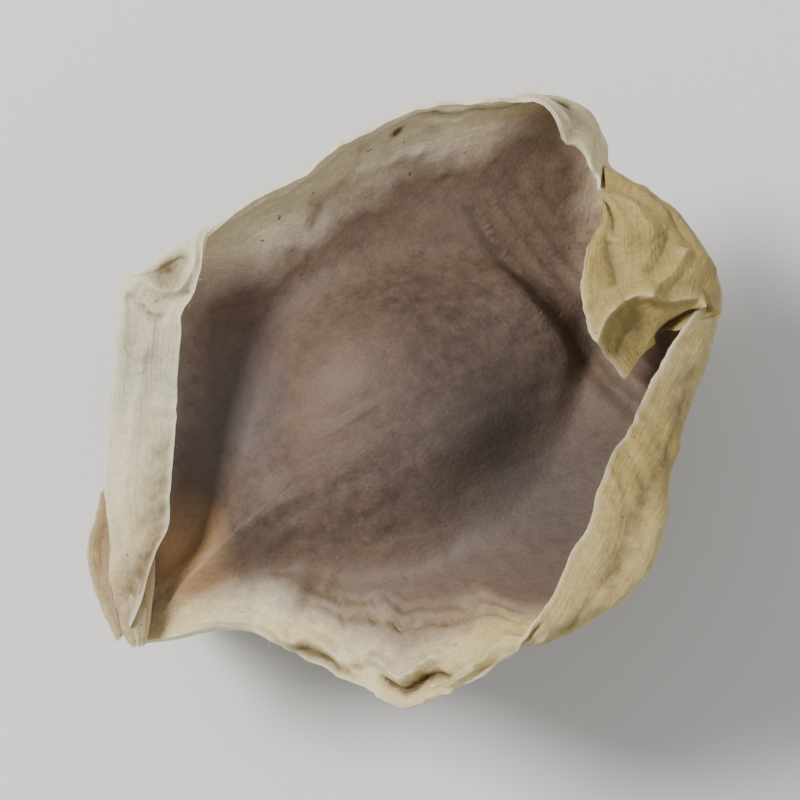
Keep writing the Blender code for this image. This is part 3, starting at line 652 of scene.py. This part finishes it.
def closeSheet(middle, normal, half):
    # gives a grid of points thickness: a front, a back and walls round the rim
    front, back = middle + normal * half[..., None], middle - normal * half[..., None]
    count = half.size
    index = np.arange(count).reshape(half.shape)
    faces = []
    for offset, turned in ((0, False), (count, True)):
        corners = index[:-1, :-1], index[1:, :-1], index[1:, 1:], index[:-1, 1:]
        a, b, c, d = (corner + offset for corner in corners)
        one = np.stack((a, b, c), axis=-1).reshape(-1, 3)
        two = np.stack((a, c, d), axis=-1).reshape(-1, 3)
        both = np.concatenate((one, two))
        faces.append(both[:, ::-1] if turned else both)
    rim = np.concatenate((index[:-1, 0], index[-1, :-1], index[:0:-1, -1], index[0, :0:-1]))
    after = np.roll(rim, -1)
    faces.append(np.stack((rim, rim + count, after), axis=-1))
    faces.append(np.stack((after, rim + count, after + count), axis=-1))
    return np.concatenate((front.reshape(-1, 3), back.reshape(-1, 3))), np.concatenate(faces)


def sheetNormal(grid):
    normal = np.cross(towards(grid, 0), towards(grid, 1))
    return normal / np.maximum(np.linalg.norm(normal, axis=-1, keepdims=True), 1e-9)


def sheetMarks(gap, rim, marginRun, warmth, stainAndShade):
    # what the finish reads at each point of a loose piece
    return {"marginGap": gap, "pastRim": gap - rim, "hullShare": gap * 0, "marginRun": marginRun,
            "warmth": gap * 0 + warmth, "stainAndShade": stainAndShade}


def makeSheet(name, sheet):
    # a loose piece of wing: a thin closed sheet through rows of points, torn along its free sides
    fine = sheet["steps"]
    rows = np.array([smoothCurve(row, fine) for row in sheet["rows"]])
    grid = np.stack([smoothCurve(rows[:, column], fine) for column in range(rows.shape[1])], axis=1)
    gap = np.full(grid.shape[:2], 99.0)
    for border in sheet["torn"]:
        axis = 0 if border in ("first", "last") else 1
        run = lengthsAlong(grid, axis)
        if border in ("last", "end"):
            run = np.take(run, [-1], axis=axis) - run
        way = towards(grid, axis) * (1 if border in ("last", "end") else -1)
        edge = 0 if border in ("first", "start") else -1
        line = np.take(grid, edge, axis=axis)
        length = lengthsAlong(line, 0)
        tear = tornLine(length, sheet["layer"] + len(border)) * sheet["tear"]
        tear = np.expand_dims(tear, axis)
        grid = grid + way * (tear * (1 - ease(run / sheet["tearReach"])))[..., None]
        gap = np.minimum(gap, run)
    normal = sheetNormal(grid)
    u, v = lengthsAlong(grid, 0), lengthsAlong(grid, 1)
    layer = sheet["layer"]
    broad, small, finest = crumple["sheetSizes"]
    relief = facets(u / broad, v / broad, layer) * sheet["broad"]
    relief = relief + facets(u / small, v / small, layer + 2) * sheet["small"]
    relief = relief + facets(u / finest, v / finest, layer + 4) * sheet["small"] * crumple["finestShare"]
    shareU, shareV = np.meshgrid(np.linspace(0, 1, grid.shape[0]), np.linspace(0, 1, grid.shape[1]),
                                 indexing="ij")
    folds, stainAndShade = foldedLines(shareU + 0.02 * hills(v, u, layer), shareV + 0.02 * hills(u, v, layer),
                               sheet["creases"])
    middle = grid + normal * (relief + folds)[..., None]
    half = seed["wingThickness"] / 2 * (0.45 + 0.55 * ease(gap / 0.5))
    points, faces = closeSheet(middle, normal, half)
    marks = sheetMarks(gap, sheet["rim"], v + 40 * layer, sheet["warmth"], stainAndShade + sheet["darkening"])
    marks = {key: np.tile(values.reshape(-1), 2) for key, values in marks.items()}
    print(name + ":", len(faces), "triangles")
    return makePiece(name, points, faces, marks)


# The flap is a torn lobe of wing that lies over the ragged pole. Its rows run from its outer side
# to its free inner edge, each from the left wing's corner to the right wing's band. The creases of a
# loose piece run from one place to another, as shares of its two sides, and have a height and a width;
# their valleys get painted shade and their ridges a painted highlight, as the pleats' do.
flap = {
    "rows": [[(12.4, 3.8, 2.7), (13.6, 1.9, 1.5), (13.9, 0.2, 0.7), (13.6, -2.3, 1.1), (12.5, -3.9, 2.1)],
             [(12.4, 3.7, 3.6), (13.3, 1.8, 3.9), (13.7, 0.2, 3.7), (13.3, -2.4, 3.4), (12.2, -4.0, 2.8)],
             [(11.9, 2.9, 4.2), (12.7, 1.2, 4.5), (12.9, -0.2, 4.3), (12.7, -2.2, 4.2), (11.4, -3.6, 3.3)],
             [(11.5, 2.4, 4.6), (11.5, 0.9, 4.9), (11.5, -0.5, 4.7), (11.1, -2.0, 4.8), (10.3, -3.5, 3.2)],
             [(11.2, 2.0, 4.7), (10.5, 0.9, 4.9), (10.1, -0.4, 4.8), (9.6, -1.5, 4.9), (9.1, -3.7, 3.3)],
             [(10.9, 1.7, 4.6), (9.3, 0.5, 4.6), (8.4, -0.5, 4.6), (7.8, -1.9, 4.6), (7.9, -4.2, 3.5)]],
    "steps": 40,
    "torn": ["last", "first"],
    "tear": 0.18,
    "tearReach": 1.2,
    "broad": 0.16,
    "small": 0.05,
    "creases": [(1.0, 0.80, 0.86, 0.75, 0.40, 0.07), (0.86, 0.75, 0.65, 0.76, 0.40, 0.07),
                (0.65, 0.76, 0.38, 0.86, 0.36, 0.06), (0.38, 0.86, 0.22, 0.92, 0.25, 0.05),
                (0.34, 0.91, 0.62, 1.0, -0.60, 0.05), (0.24, 0.92, 0.5, 1.0, 0.15, 0.04),
                (0.92, 0.90, 0.76, 0.88, -0.25, 0.11), (0.65, 0.76, 0.42, 0.60, 0.18, 0.05),
                (0.42, 0.60, 0.18, 0.70, 0.16, 0.05), (0.95, 0.28, 0.97, 0.62, 0.18, 0.06),
                (0.79, 0.26, 0.83, 0.56, -0.26, 0.10), (0.62, 0.64, 0.44, 0.50, -0.16, 0.08),
                (0.60, 0.0, 0.70, 0.24, -0.22, 0.09), (0.12, 0.66, 0.08, 0.36, 0.14, 0.05),
                (0.45, 0.14, 0.52, 0.40, 0.15, 0.07), (0.25, 0.30, 0.34, 0.56, -0.12, 0.08)],
    "layer": 5,
    "warmth": 1.0,
    "darkening": 0.16,
    "rim": 9.0,
}
tornFlap = makeSheet("tornFlap", flap)

# A second layer of skin shows past the left wing's fold at the sharp pole.
underLayer = {
    "rows": [[(-10.7, 4.9, 2.3), (-11.5, 3.2, 1.5), (-11.9, 1.9, 0.9), (-12.5, 0.5, 0.2)],
             [(-11.2, 5.0, 2.3), (-12.6, 3.5, 1.5), (-13.3, 2.1, 0.9), (-13.6, 0.5, 0.2)],
             [(-11.7, 5.0, 2.4), (-13.4, 3.8, 1.8), (-14.3, 2.3, 1.2), (-14.6, 0.3, 0.3)]],
    "steps": 36,
    "torn": ["last", "start"],
    "tear": 0.10,
    "tearReach": 0.9,
    "broad": 0.10,
    "small": 0.04,
    "creases": [(0.2, 0.1, 0.8, 0.9, 0.12, 0.2)],
    "layer": 8,
    "warmth": 0.7,
    "darkening": 0.1,
    "rim": -0.2,
}
secondLayer = makeSheet("secondLayer", underLayer)

# The folded margin's own end comes out from under the fold and is wrapped over the sharp pole.
foldEnd = {
    "rows": [[(-12.7, 2.8, 1.7), (-13.6, 1.5, 1.8), (-14.2, 0.4, 1.3), (-14.3, -0.3, 0.7)],
             [(-11.9, 2.4, 2.1), (-12.9, 1.1, 2.3), (-13.6, 0.1, 1.7), (-14.1, -0.5, 0.9)],
             [(-11.0, 2.2, 1.9), (-12.1, 0.8, 2.1), (-13.0, 0.0, 1.4), (-13.8, -0.6, 0.7)]],
    "steps": 40,
    "torn": ["last", "end"],
    "tear": 0.06,
    "tearReach": 0.6,
    "broad": 0.05,
    "small": 0.03,
    "creases": [(0.2, 0.2, 0.4, 0.95, 0.1, 0.15), (0.7, 0.2, 0.75, 0.95, -0.12, 0.15)],
    "layer": 12,
    "warmth": 0.6,
    "darkening": 0.1,
    "rim": 0.7,
}
poleWrap = makeSheet("poleWrap", foldEnd)


def frameOnMargin(wing, turn):
    # a point on a wing's free edge, with the ways along the edge, off it and up from the sheet
    turns = np.array([[turn - 0.004], [turn], [turn + 0.004]])
    edge = wingMiddle(wing, turns, np.full((3, 1), 2.0), fibreSet["halfAngle"])[0][:, 0]
    inner = wingMiddle(wing, np.array([[turn]]), np.array([[1.97]]), fibreSet["halfAngle"])[0][0, 0]
    way = edge[2] - edge[0]
    way = way / np.linalg.norm(way)
    off = edge[1] - inner
    off = off - way * (off @ way)
    off = off / np.linalg.norm(off)
    return edge[1], way, off, np.cross(way, off)


fibreSet = {
    "count": 80,
    "length": (0.12, 0.4),
    "radius": 0.014,
    "turns": (8, 172),  # degrees round the hull where they grow
    "sunk": 0.15,  # how deep their roots lie in the wing
    "lean": 0.9,  # how much they lean along the edge, and then curl up and sway
    "curl": 0.5,
    "sway": 0.5,
    "sides": 5,
    "rings": 9,
    "edgeGap": 0.3,  # the place on a wing whose colour they have, and how warm it is
    "warmth": 0.35,
    "halfAngle": 1.0,  # in radians, between a wing and the middle of its face, near enough for a fibre
}


def makeFibres():
    # stray fibres along the free edges, each a thin closed spindle
    random = np.random.default_rng(5)
    points, faces = [], []
    count = 0
    sides, rings = fibreSet["sides"], fibreSet["rings"]
    low, high = fibreSet["length"]
    firstTurn, lastTurn = fibreSet["turns"]
    for number in range(fibreSet["count"]):
        wing = wings[random.integers(3)]
        edge, way, off, up = frameOnMargin(wing, math.radians(random.uniform(firstTurn, lastTurn)))
        length = random.uniform(low, high)
        lean, curl, sway = (random.normal(0, fibreSet[key]) for key in ("lean", "curl", "sway"))
        t = np.linspace(0, 1, rings)
        core = (edge - fibreSet["sunk"] * off + np.outer(t * length, off)
                + np.outer(lean * t * length * 0.7, way)
                + np.outer(curl * t**2 * length, up) + np.outer(sway * t**2 * length, way))
        radius = fibreSet["radius"] * np.clip(1.15 - t, 0.2, 1)
        turns = np.arange(sides) * 2 * math.pi / sides
        rim = np.cos(turns)[:, None] * up + np.sin(turns)[:, None] * way
        points.append((core[:, None] + radius[:, None, None] * rim).reshape(-1, 3))
        ring = np.arange(sides)
        for step in range(rings - 1):
            a = count + step * sides + ring
            b = count + step * sides + (ring + 1) % sides
            faces.append(np.stack((a, b, b + sides), axis=-1))
            faces.append(np.stack((a, b + sides, a + sides), axis=-1))
        for start, turned in ((count, True), (count + (rings - 1) * sides, False)):
            fan = np.stack((np.full(sides - 2, start), start + ring[1:-1], start + ring[2:]), axis=-1)
            faces.append(fan[:, ::-1] if turned else fan)
        count += rings * sides
    points = np.concatenate(points)
    gaps = np.full(len(points), fibreSet["edgeGap"])
    marks = sheetMarks(gaps, 2, gaps, fibreSet["warmth"], gaps * 0)
    return makePiece("edgeFibres", points, np.concatenate(faces), marks)


edgeFibres = makeFibres()
print("fibres made")


def addNode(tree, kind, inputs=None, **settings):
    # a node whose inputs are either other nodes' outputs or plain values
    made = tree.nodes.new(kind)
    for key, value in settings.items():
        setattr(made, key, value)
    for key, value in (inputs or {}).items():
        if isinstance(value, bpy.types.NodeSocket):
            tree.links.new(value, made.inputs[key])
        else:
            made.inputs[key].default_value = value
    return made


def paint(red, green, blue):
    # a screen colour from 0 to 255 as the shader wants it
    def linear(value):
        value = value / 255
        return value / 12.92 if value <= 0.04045 else ((value + 0.055) / 1.055) ** 2.4
    return linear(red), linear(green), linear(blue), 1.0


def addRamp(tree, factor, stops):
    ramp = addNode(tree, "ShaderNodeValToRGB", {"Fac": factor})
    elements = ramp.color_ramp.elements
    while len(elements) < len(stops):
        elements.new(0.5)
    for element, (place, colour) in zip(elements, stops):
        element.position = place
        element.color = colour
    return ramp.outputs["Color"]


def addMath(tree, operation, first, second=0.0, third=0.0, clamp=False):
    made = addNode(tree, "ShaderNodeMath", {0: first, 1: second, 2: third}, operation=operation)
    made.use_clamp = clamp
    return made.outputs[0]


def addMix(tree, factor, first, second, blend="MIX"):
    made = addNode(tree, "ShaderNodeMix", data_type="RGBA", blend_type=blend)
    for key, value in ((0, factor), (6, first), (7, second)):
        if isinstance(value, bpy.types.NodeSocket):
            tree.links.new(value, made.inputs[key])
        else:
            made.inputs[key].default_value = value
    return made.outputs[2]


def addRange(tree, value, ends):
    # 0 to 1 as a value goes from the first end to the second
    return addNode(tree, "ShaderNodeMapRange", {0: value, 1: ends[0], 2: ends[1]}).outputs[0]


def addMark(tree, name):
    return addNode(tree, "ShaderNodeAttribute", attribute_name=name).outputs["Fac"]


coatColours = {
    # edge is the colour of the painted highlights on ridges, fold crests and the free edge
    "edge": (228, 219, 190),
    "rimPale": (221, 212, 184),
    "rimCream": (214, 198, 150),
    "rimOlive": (168, 147, 86),
    # the colour of stains and of painted shade in valleys and shadowed patches
    "stainAndShade": (108, 90, 56),
    "tanPale": (190, 177, 156),
    "tanWarm": (148, 125, 94),
    "brown": (106, 87, 70),
    "hullDark": (56, 45, 38),
    "hullBrown": (87, 69, 57),
    "hullLight": (116, 93, 77),
    "reddish": (114, 90, 74),
    "amber": (190, 146, 96),
    # these two are painted shade, for the valley beside the left strip and the hull's shadowed lower right
    "shade": (110, 100, 102),
    "deepPaintedShade": (68, 59, 55),
    "speck": (66, 50, 36),
}
# patches of colour, each with its place about the seed's axis, how far it reaches and its share: reddish
# and amber are the coat's own, the shade ones painted shade
coatSpots = [
    ("reddish", (-1.5, 2.2, 5.5), 3.6, 0.75),
    ("reddish", (-4.3, 0.9, 5.0), 2.8, 0.4),
    ("shade", (-6.0, 4.6, 3.5), 3.4, 0.85),
    ("deepPaintedShade", (1.6, -2.4, 5.0), 5.0, 0.4),
    ("deepPaintedShade", (2.6, -6.6, 3.0), 6.5, 0.75),
    ("amber", (-11.0, 1.2, 1.4), 3.1, 0.85),
]
coatSet = {
    "blotchScale": 0.42,  # spots to a millimetre
    "mottleScale": 1.7,
    "gritScale": 6.0,
    "fibreScale": 1.6,
    "speckScale": 2.9,
    "fibreAlong": 0.35,  # fibres run along the margin, close together across it
    "fibreAcross": 4.5,
    "rimToHull": 6.0,  # millimetres over which the colours change from rim to hull
    "tanRange": (0.1, 0.36),  # shares of that way where each colour comes in
    "brownRange": (0.34, 0.78),
    "hullRange": (0.5, 0.95),
    "brownEvenness": 0.55,
    "hullEvenness": 0.4,
    "edgeHighlightRange": (0.26, 0.0),  # millimetres from the free edge, over which a painted highlight is laid
    "edgeHighlightShare": 0.45,
    "speckRange": (0.73, 0.76),
    "speckShare": 0.7,
    "streakShare": 0.7,
    "dustShare": 0.6,
    "roughness": 0.5,
    "roughnessSpread": 0.3,
    "glow": 0.2,  # how much light goes through the skin, how far by colour, and the unit in metres
    "glowRadius": (1.0, 0.72, 0.45),
    "glowScale": 0.0006,
    "gritBump": (0.5, 0.00007),  # strength, and height in metres
    "fibreBump": (0.6, 0.00009),
}


def millimetres(tree):
    # places on the piece, for the noises
    place = addNode(tree, "ShaderNodeTexCoord").outputs["Object"]
    return addNode(tree, "ShaderNodeVectorMath", {0: place, 1: (1000, 1000, 1000)},
                   operation="MULTIPLY").outputs[0]


def addNoise(tree, place, scale, detail=5.0, rough=0.6):
    return addNode(tree, "ShaderNodeTexNoise", {"Vector": place, "Scale": scale, "Detail": detail,
                                                "Roughness": rough}).outputs["Fac"]


def addSpot(tree, place, centre, reach):
    # 1 at a place on the seed, falling to 0 at a distance from it
    centre = toFrame(np.array(centre, dtype=float)) * 1000
    far = addNode(tree, "ShaderNodeVectorMath", {0: place, 1: tuple(centre)}, operation="DISTANCE")
    far = far.outputs["Value"]
    near = addMath(tree, "SUBTRACT", 1.0, addMath(tree, "DIVIDE", far, reach), clamp=True)
    return addMath(tree, "POWER", near, 0.8)


def makeCoatMaterial():
    material = bpy.data.materials.new("seedCoatFinish")
    material.use_nodes = True
    tree = material.node_tree
    shader = tree.nodes["Principled BSDF"]
    colours = {key: paint(*value) for key, value in coatColours.items()}
    place = millimetres(tree)
    gap, pastRim, hullShare, warmth, marginRun, stainAndShade = (addMark(tree, name) for name in (
        "marginGap", "pastRim", "hullShare", "warmth", "marginRun", "stainAndShade"))

    blotch = addNoise(tree, place, coatSet["blotchScale"], 4.0, 0.55)
    mottle = addNoise(tree, place, coatSet["mottleScale"], 6.0, 0.65)
    grit = addNoise(tree, place, coatSet["gritScale"], 4.0, 0.6)
    grain = addNode(tree, "ShaderNodeCombineXYZ", {
        "X": addMath(tree, "MULTIPLY", marginRun, coatSet["fibreAlong"]),
        "Y": addMath(tree, "MULTIPLY", gap, coatSet["fibreAcross"])}).outputs[0]
    fibre = addNoise(tree, grain, coatSet["fibreScale"])

    # the pale rim gives way to tan and then to the hull's brown, along a blotchy line
    wander = addMath(tree, "MULTIPLY_ADD", blotch, 2.6, -1.3)
    wander = addMath(tree, "ADD", wander, addMath(tree, "MULTIPLY_ADD", mottle, 1.6, -0.8))
    depth = addMath(tree, "ADD", addMath(tree, "ADD", pastRim, wander), 1.0)
    depth = addMath(tree, "DIVIDE", depth, coatSet["rimToHull"], clamp=True)
    tint = addMath(tree, "ADD", warmth, addMath(tree, "MULTIPLY_ADD", mottle, 0.5, -0.25), clamp=True)
    rim = addRamp(tree, tint, [(0.0, colours["rimPale"]), (0.5, colours["rimCream"]),
                               (1.0, colours["rimOlive"])])
    tan = addMix(tree, warmth, colours["tanPale"], colours["tanWarm"])
    colour = addMix(tree, addRange(tree, depth, coatSet["tanRange"]), rim, tan)
    inner = addRamp(tree, mottle, [(0.3, colours["hullDark"]), (0.45, colours["brown"]),
                                   (0.7, colours["hullLight"])])
    inner = addMix(tree, coatSet["brownEvenness"], inner, colours["brown"])
    colour = addMix(tree, addRange(tree, depth, coatSet["brownRange"]), colour, inner)
    hull = addRamp(tree, mottle, [(0.32, colours["hullDark"]), (0.5, colours["hullBrown"]),
                                  (0.7, colours["hullLight"])])
    hull = addMix(tree, coatSet["hullEvenness"], hull, colours["hullBrown"])
    past = addRange(tree, depth, coatSet["hullRange"])
    colour = addMix(tree, addMath(tree, "MULTIPLY", past, addMath(tree, "MULTIPLY_ADD", hullShare, 0.6, 0.3)),
                    colour, hull)
    # the patches, painted shade among them, stay inside the pale rim, but for the amber one
    for key, centre, reach, share in coatSpots:
        spot = addMath(tree, "MULTIPLY", addSpot(tree, place, centre, reach), share)
        spot = addMath(tree, "MULTIPLY", spot, addMath(tree, "MULTIPLY_ADD", blotch, 1.4, 0.3), clamp=True)
        spot = addMath(tree, "MULTIPLY", spot, 1.0 if key == "amber" else past)
        colour = addMix(tree, spot, colour, colours[key])

    # stains and painted shade in the valleys, painted highlights on the ridges and fold crests, then fibres,
    # dust, a painted highlight along the free edge and specks
    darkening = addMath(tree, "MULTIPLY", stainAndShade, addMath(tree, "MULTIPLY_ADD", mottle, 1.6, 0.1), clamp=True)
    colour = addMix(tree, darkening, colour, colours["stainAndShade"])
    paleHighlight = addMath(tree, "MULTIPLY", stainAndShade, addMath(tree, "MULTIPLY_ADD", mottle, -1.2, -0.2), clamp=True)
    colour = addMix(tree, paleHighlight, colour, colours["edge"])
    papery = addMath(tree, "SUBTRACT", 1.0, depth)
    streak = addRamp(tree, fibre, [(0.3, (0.80, 0.78, 0.74, 1)), (0.7, (1.12, 1.12, 1.1, 1))])
    streaky = addMath(tree, "MULTIPLY", papery, coatSet["streakShare"])
    colour = addMix(tree, streaky, colour, streak, blend="MULTIPLY")
    dust = addRamp(tree, grit, [(0.35, (0.82, 0.80, 0.78, 1)), (0.65, (1.08, 1.08, 1.08, 1))])
    colour = addMix(tree, coatSet["dustShare"], colour, dust, blend="MULTIPLY")
    edgeHighlight = addMath(tree, "MULTIPLY", addRange(tree, gap, coatSet["edgeHighlightRange"]), coatSet["edgeHighlightShare"])
    colour = addMix(tree, edgeHighlight, colour, colours["edge"])
    speck = addRange(tree, addNoise(tree, place, coatSet["speckScale"], 2.0, 0.5), coatSet["speckRange"])
    colour = addMix(tree, addMath(tree, "MULTIPLY", speck, coatSet["speckShare"]), colour, colours["speck"])
    tree.links.new(colour, shader.inputs["Base Color"])

    rough = addMath(tree, "MULTIPLY_ADD", mottle, coatSet["roughnessSpread"], coatSet["roughness"])
    tree.links.new(rough, shader.inputs["Roughness"])
    shader.inputs["Subsurface Weight"].default_value = coatSet["glow"]
    shader.inputs["Subsurface Radius"].default_value = coatSet["glowRadius"]
    shader.inputs["Subsurface Scale"].default_value = coatSet["glowScale"]

    strength, height = coatSet["gritBump"]
    bump = addNode(tree, "ShaderNodeBump", {"Height": grit, "Strength": strength, "Distance": height})
    strands = addMath(tree, "MULTIPLY", fibre, papery)
    strength, height = coatSet["fibreBump"]
    bump = addNode(tree, "ShaderNodeBump", {"Height": strands, "Strength": strength, "Distance": height,
                                            "Normal": bump.outputs[0]})
    tree.links.new(bump.outputs[0], shader.inputs["Normal"])
    return material


coatFinish = makeCoatMaterial()
for piece in (seedCoat, tornFlap, secondLayer, poleWrap, edgeFibres):
    piece.data.materials.append(coatFinish)
print("finishes made")

stageSet = {
    "floorSize": 1.2,
    "floorColour": (226, 224, 219),
    "keyPower": 2.5,
    "keySize": 0.13,
    "keyPlace": (-0.16, 0.20, 0.34),
    "fillPower": 0.35,
    "fillSize": 0.5,
    "fillPlace": (0.3, -0.25, 0.35),
    "worldStrength": 0.5,
    "worldColour": (0.95, 0.97, 1.0, 1),
    "lens": 250.0,
    "azimuth": -36.0,
    "elevation": 80.0,
    "distance": 0.227,
    "lookAt": (0.5, 0.6, -0.3),  # in millimetres about the seed's axis
}


def makeFloor():
    half = stageSet["floorSize"] / 2
    mesh = bpy.data.meshes.new("floor")
    corners = [(-half, -half, 0), (half, -half, 0), (half, half, 0), (-half, half, 0)]
    mesh.from_pydata(corners, [], [(0, 1, 2, 3)])
    floor = bpy.data.objects.new("floor", mesh)
    bpy.context.scene.collection.objects.link(floor)
    floor.location.z = cadLow.z
    material = bpy.data.materials.new("floorFinish")
    material.use_nodes = True
    tree = material.node_tree
    place = addNode(tree, "ShaderNodeTexCoord").outputs["Object"]
    noise = addNode(tree, "ShaderNodeTexNoise", {"Vector": place, "Scale": 25.0, "Detail": 3.0})
    base = np.array(paint(*stageSet["floorColour"]))
    shade = addRamp(tree, noise.outputs["Fac"], [(0.3, tuple(base * 0.97)), (0.7, tuple(base))])
    shader = tree.nodes["Principled BSDF"]
    tree.links.new(shade, shader.inputs["Base Color"])
    shader.inputs["Roughness"].default_value = 0.85
    mesh.materials.append(material)


def aim(thing, place, target):
    thing.location = place
    thing.rotation_mode = "QUATERNION"
    thing.rotation_quaternion = (Vector(target) - Vector(place)).to_track_quat("-Z", "Y")


def makeLight(name, place, power, size, target):
    light = bpy.data.lights.new(name, "AREA")
    light.energy = power
    light.size = size
    holder = bpy.data.objects.new(name, light)
    bpy.context.scene.collection.objects.link(holder)
    aim(holder, place, target)


def makeCamera(target):
    data = bpy.data.cameras.new("camera")
    data.lens = stageSet["lens"]
    data.clip_start = 0.01
    camera = bpy.data.objects.new("camera", data)
    bpy.context.scene.collection.objects.link(camera)
    azimuth, elevation = math.radians(stageSet["azimuth"]), math.radians(stageSet["elevation"])
    back = Vector((math.sin(azimuth) * math.cos(elevation), -math.cos(azimuth) * math.cos(elevation),
                   math.sin(elevation)))
    aim(camera, Vector(target) + back * stageSet["distance"], target)
    bpy.context.scene.camera = camera


middle = (cadLow + cadHigh) / 2
lookAt = Vector(toFrame(np.array(stageSet["lookAt"])))
makeFloor()
makeLight("keyLight", stageSet["keyPlace"], stageSet["keyPower"], stageSet["keySize"], middle)
makeLight("fillLight", stageSet["fillPlace"], stageSet["fillPower"], stageSet["fillSize"], middle)
world = bpy.data.worlds.new("softRoom")
world.use_nodes = True
world.node_tree.nodes["Background"].inputs["Color"].default_value = stageSet["worldColour"]
world.node_tree.nodes["Background"].inputs["Strength"].default_value = stageSet["worldStrength"]
bpy.context.scene.world = world
makeCamera(lookAt)
print("stage set")
